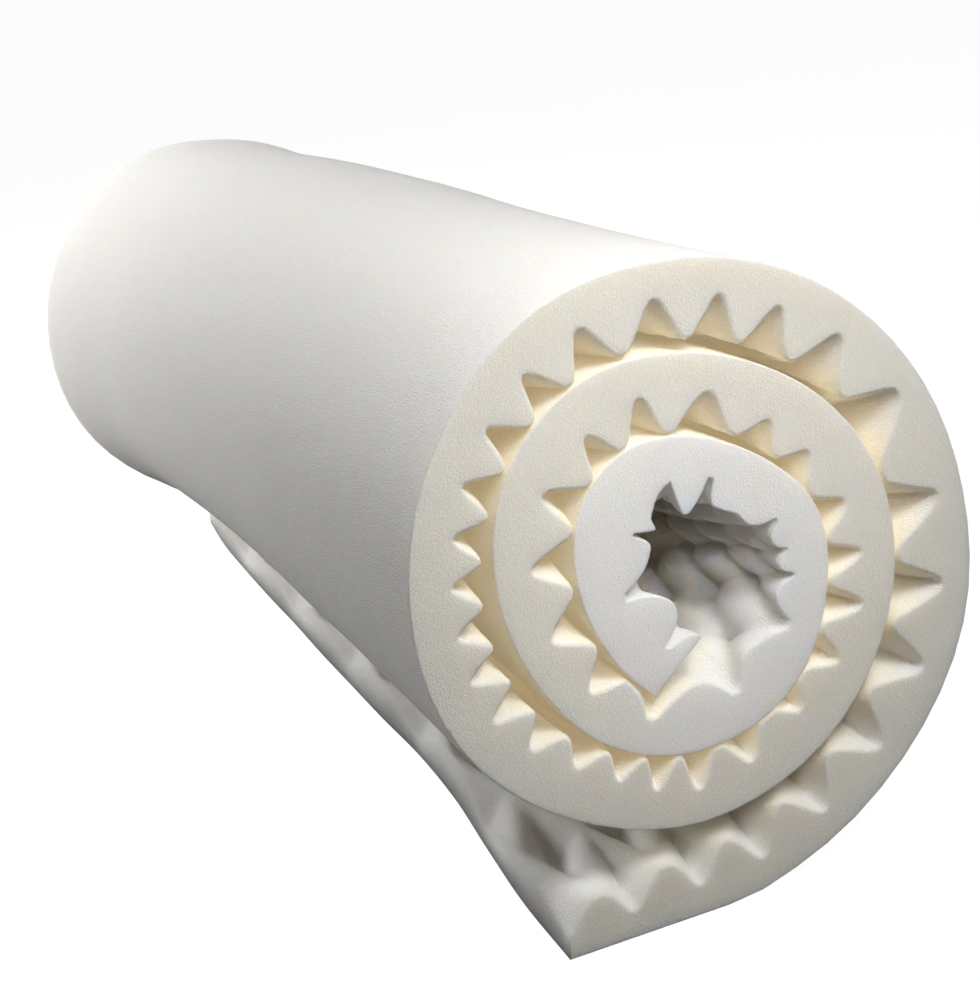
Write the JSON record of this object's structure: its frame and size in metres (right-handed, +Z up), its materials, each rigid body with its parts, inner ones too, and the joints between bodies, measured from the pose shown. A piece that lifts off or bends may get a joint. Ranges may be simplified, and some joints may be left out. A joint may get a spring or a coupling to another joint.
{
  "type": "mattress topper",
  "caption": "Convoluted foam mattress topper rolled up with its teeth inside: smooth back outwards, open core, outer end lying flat under the roll.",
  "frame": {"origin": "bottom centre of the roll's box, on the floor", "axes": "+Z up; Y along the roll, with the spiral end that the picture shows at -Y; the flap's edge points to -X"},
  "size_m": [0.3306, 0.8, 0.3407],
  "materials": {
    "foam": "open-cell polyurethane foam, matt and finely grained, off-white cream"
  },
  "bodies": {
    "root": {"foam_pad": "foam"}
  },
  "joints": []
}
